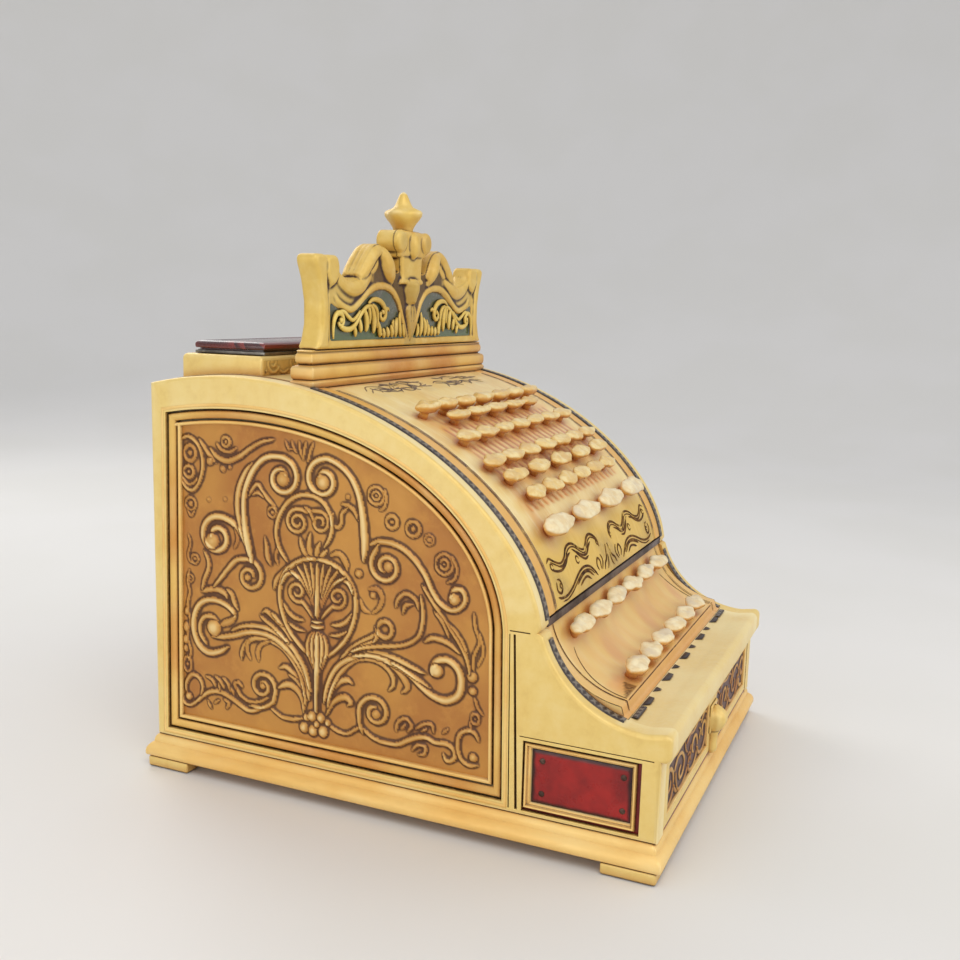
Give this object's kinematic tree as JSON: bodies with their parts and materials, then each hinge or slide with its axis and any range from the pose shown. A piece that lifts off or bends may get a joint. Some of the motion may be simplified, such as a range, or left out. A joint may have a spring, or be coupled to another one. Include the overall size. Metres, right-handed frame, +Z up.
{
  "type": "antique cash register",
  "caption": "Ornate gilt cash register with arched sides, curved keyboard, sliding till drawer, hinged receipt-box lid, bell and pop-up flags under a pierced crown.",
  "frame": {"origin": "on the table, under the centre of the register's box", "axes": "+Z up; the drawer and keys face -Y; +X is to the right of a person who stands at the drawer"},
  "size_m": [0.4394, 0.537, 0.5798],
  "materials": {
    "body_gilt": "satin gilt, softly worn",
    "moulding_gilt": "satin gilt, warmer",
    "plinth_wood": "wood with a worn gilt finish",
    "panel_bronze": "patinated relief",
    "keyboard_cream": "cream japanned sheet",
    "key_ivory": "aged ivory-coloured caps",
    "enamel_red": "vitreous red enamel",
    "drawer_relief": "dark relief with gilt highlights",
    "drawer_wood": "oiled oak",
    "lid_wood": "polished dark mahogany",
    "window_glass": "clear grey-green pane",
    "flag_white": "plain enamelled tablet",
    "steel": "oiled",
    "bell_brass": "polished"
  },
  "bodies": {
    "root": {"base_plinth": "plinth_wood", "foot_front_left": "body_gilt", "foot_front_right": "body_gilt", "foot_rear_left": "body_gilt", "foot_rear_right": "body_gilt", "side_frame_left": "body_gilt", "side_frame_right": "body_gilt", "side_panel_left": "panel_bronze", "side_panel_right": "panel_bronze", "enamel_plate_left": "enamel_red", "enamel_plate_right": "enamel_red", "back_panel": "body_gilt", "deck_plate": "steel", "cross_rail": "steel", "front_shelf": "body_gilt", "top_plate": "body_gilt", "upper_key_panel": "keyboard_cream", "lower_key_panel": "keyboard_cream", "drawer_runner_left": "steel", "drawer_runner_right": "steel", "crown_base": "moulding_gilt", "crown_pediment": "body_gilt", "crown_finial": "body_gilt", "crown_glass_left": "window_glass", "crown_glass_right": "window_glass", "receipt_box": "body_gilt", "lid_hinge_pin": "steel", "mechanism_shaft": "steel", "bell": "bell_brass"},
    "box_lid": {"box_lid": "lid_wood"},
    "drawer": {"drawer_box": "drawer_wood", "drawer_front": "drawer_relief", "drawer_pull": "body_gilt", "till_tray": "drawer_wood"},
    "drawer_bolt": {"drawer_bolt": "steel"},
    "bell_hammer": {"bell_hammer": "steel"},
    "price_flag_left": {"price_flag_left": "flag_white"},
    "price_flag_right": {"price_flag_right": "flag_white"},
    "key_row_1": {"key_row_1": "key_ivory"},
    "key_row_2": {"key_row_2": "key_ivory"},
    "key_row_3": {"key_row_3": "key_ivory"},
    "key_row_4": {"key_row_4": "key_ivory"},
    "key_row_5": {"key_row_5": "key_ivory"},
    "key_row_6": {"key_row_6": "key_ivory"},
    "big_key_1": {"big_key_1": "key_ivory"},
    "big_key_2": {"big_key_2": "key_ivory"},
    "big_key_3": {"big_key_3": "key_ivory"},
    "big_key_4": {"big_key_4": "key_ivory"},
    "upper_total_key_1": {"upper_total_key_1": "key_ivory"},
    "upper_total_key_2": {"upper_total_key_2": "key_ivory"},
    "upper_total_key_3": {"upper_total_key_3": "key_ivory"},
    "upper_total_key_4": {"upper_total_key_4": "key_ivory"},
    "upper_total_key_5": {"upper_total_key_5": "key_ivory"},
    "upper_total_key_6": {"upper_total_key_6": "key_ivory"},
    "front_total_key_1": {"front_total_key_1": "key_ivory"},
    "front_total_key_2": {"front_total_key_2": "key_ivory"},
    "front_total_key_3": {"front_total_key_3": "key_ivory"},
    "front_total_key_4": {"front_total_key_4": "key_ivory"},
    "front_total_key_5": {"front_total_key_5": "key_ivory"},
    "front_total_key_6": {"front_total_key_6": "key_ivory"}
  },
  "joints": [
    {"name": "drawer_slide", "type": "slide", "parent": "root", "child": "drawer", "axis": [0, -1, 0], "range_m": [0, 0.27]},
    {"name": "lid_hinge", "type": "hinge", "parent": "root", "child": "box_lid", "pos_m": [0, 0.245, 0.4152], "axis": [-1, 0, 0], "range_deg": [0, 100]},
    {"name": "drawer_bolt_slide", "type": "slide", "parent": "root", "child": "drawer_bolt", "axis": [0, 0, 1], "range_m": [-0.022, 0]},
    {"name": "bell_hammer_pivot", "type": "hinge", "parent": "root", "child": "bell_hammer", "pos_m": [0.1, 0.215, 0.2], "axis": [1, 0, 0], "range_deg": [-3.4, 15], "stiffness_Nm_per_rad": 0.4},
    {"name": "price_flag_left_rise", "type": "slide", "parent": "root", "child": "price_flag_left", "axis": [0, 0, 1], "range_m": [0, 0.036]},
    {"name": "price_flag_right_rise", "type": "slide", "parent": "root", "child": "price_flag_right", "axis": [0, 0, 1], "range_m": [0, 0.036]},
    {"name": "key_row_1_press", "type": "slide", "parent": "root", "child": "key_row_1", "axis": [0, 0.407, -0.9134], "range_m": [0, 0.005], "stiffness_N_per_m": 250, "springref_m": -0.012},
    {"name": "key_row_2_press", "type": "slide", "parent": "root", "child": "key_row_2", "axis": [0, 0.4499, -0.8931], "range_m": [0, 0.005], "stiffness_N_per_m": 250, "springref_m": -0.012},
    {"name": "key_row_3_press", "type": "slide", "parent": "root", "child": "key_row_3", "axis": [0, 0.5218, -0.853], "range_m": [0, 0.005], "stiffness_N_per_m": 250, "springref_m": -0.012},
    {"name": "key_row_4_press", "type": "slide", "parent": "root", "child": "key_row_4", "axis": [0, 0.6053, -0.796], "range_m": [0, 0.005], "stiffness_N_per_m": 250, "springref_m": -0.012},
    {"name": "key_row_5_press", "type": "slide", "parent": "root", "child": "key_row_5", "axis": [0, 0.6579, -0.7531], "range_m": [0, 0.005], "stiffness_N_per_m": 250, "springref_m": -0.012},
    {"name": "key_row_6_press", "type": "slide", "parent": "root", "child": "key_row_6", "axis": [0, 0.714, -0.7001], "range_m": [0, 0.005], "stiffness_N_per_m": 250, "springref_m": -0.012},
    {"name": "big_key_1_press", "type": "slide", "parent": "root", "child": "big_key_1", "axis": [0, 0.8124, -0.5831], "range_m": [0, 0.006], "stiffness_N_per_m": 150, "springref_m": -0.012},
    {"name": "big_key_2_press", "type": "slide", "parent": "root", "child": "big_key_2", "axis": [0, 0.8124, -0.5831], "range_m": [0, 0.006], "stiffness_N_per_m": 150, "springref_m": -0.012},
    {"name": "big_key_3_press", "type": "slide", "parent": "root", "child": "big_key_3", "axis": [0, 0.8124, -0.5831], "range_m": [0, 0.006], "stiffness_N_per_m": 150, "springref_m": -0.012},
    {"name": "big_key_4_press", "type": "slide", "parent": "root", "child": "big_key_4", "axis": [0, 0.8124, -0.5831], "range_m": [0, 0.006], "stiffness_N_per_m": 150, "springref_m": -0.012},
    {"name": "upper_total_key_1_press", "type": "slide", "parent": "root", "child": "upper_total_key_1", "axis": [0, 0.6428, -0.766], "range_m": [0, 0.005], "stiffness_N_per_m": 120, "springref_m": -0.01},
    {"name": "upper_total_key_2_press", "type": "slide", "parent": "root", "child": "upper_total_key_2", "axis": [0, 0.6428, -0.766], "range_m": [0, 0.005], "stiffness_N_per_m": 120, "springref_m": -0.01},
    {"name": "upper_total_key_3_press", "type": "slide", "parent": "root", "child": "upper_total_key_3", "axis": [0, 0.6428, -0.766], "range_m": [0, 0.005], "stiffness_N_per_m": 120, "springref_m": -0.01},
    {"name": "upper_total_key_4_press", "type": "slide", "parent": "root", "child": "upper_total_key_4", "axis": [0, 0.6428, -0.766], "range_m": [0, 0.005], "stiffness_N_per_m": 120, "springref_m": -0.01},
    {"name": "upper_total_key_5_press", "type": "slide", "parent": "root", "child": "upper_total_key_5", "axis": [0, 0.6428, -0.766], "range_m": [0, 0.005], "stiffness_N_per_m": 120, "springref_m": -0.01},
    {"name": "upper_total_key_6_press", "type": "slide", "parent": "root", "child": "upper_total_key_6", "axis": [0, 0.6428, -0.766], "range_m": [0, 0.005], "stiffness_N_per_m": 120, "springref_m": -0.01},
    {"name": "front_total_key_1_press", "type": "slide", "parent": "root", "child": "front_total_key_1", "axis": [0, 0.4226, -0.9063], "range_m": [0, 0.005], "stiffness_N_per_m": 120, "springref_m": -0.01},
    {"name": "front_total_key_2_press", "type": "slide", "parent": "root", "child": "front_total_key_2", "axis": [0, 0.4226, -0.9063], "range_m": [0, 0.005], "stiffness_N_per_m": 120, "springref_m": -0.01},
    {"name": "front_total_key_3_press", "type": "slide", "parent": "root", "child": "front_total_key_3", "axis": [0, 0.4226, -0.9063], "range_m": [0, 0.005], "stiffness_N_per_m": 120, "springref_m": -0.01},
    {"name": "front_total_key_4_press", "type": "slide", "parent": "root", "child": "front_total_key_4", "axis": [0, 0.4226, -0.9063], "range_m": [0, 0.005], "stiffness_N_per_m": 120, "springref_m": -0.01},
    {"name": "front_total_key_5_press", "type": "slide", "parent": "root", "child": "front_total_key_5", "axis": [0, 0.4226, -0.9063], "range_m": [0, 0.005], "stiffness_N_per_m": 120, "springref_m": -0.01},
    {"name": "front_total_key_6_press", "type": "slide", "parent": "root", "child": "front_total_key_6", "axis": [0, 0.4226, -0.9063], "range_m": [0, 0.005], "stiffness_N_per_m": 120, "springref_m": -0.01}
  ],
  "couplings": [
    {"joint": "price_flag_left_rise", "follows": "big_key_2_press", "ratio": 6},
    {"joint": "price_flag_right_rise", "follows": "big_key_3_press", "ratio": 6}
  ]
}
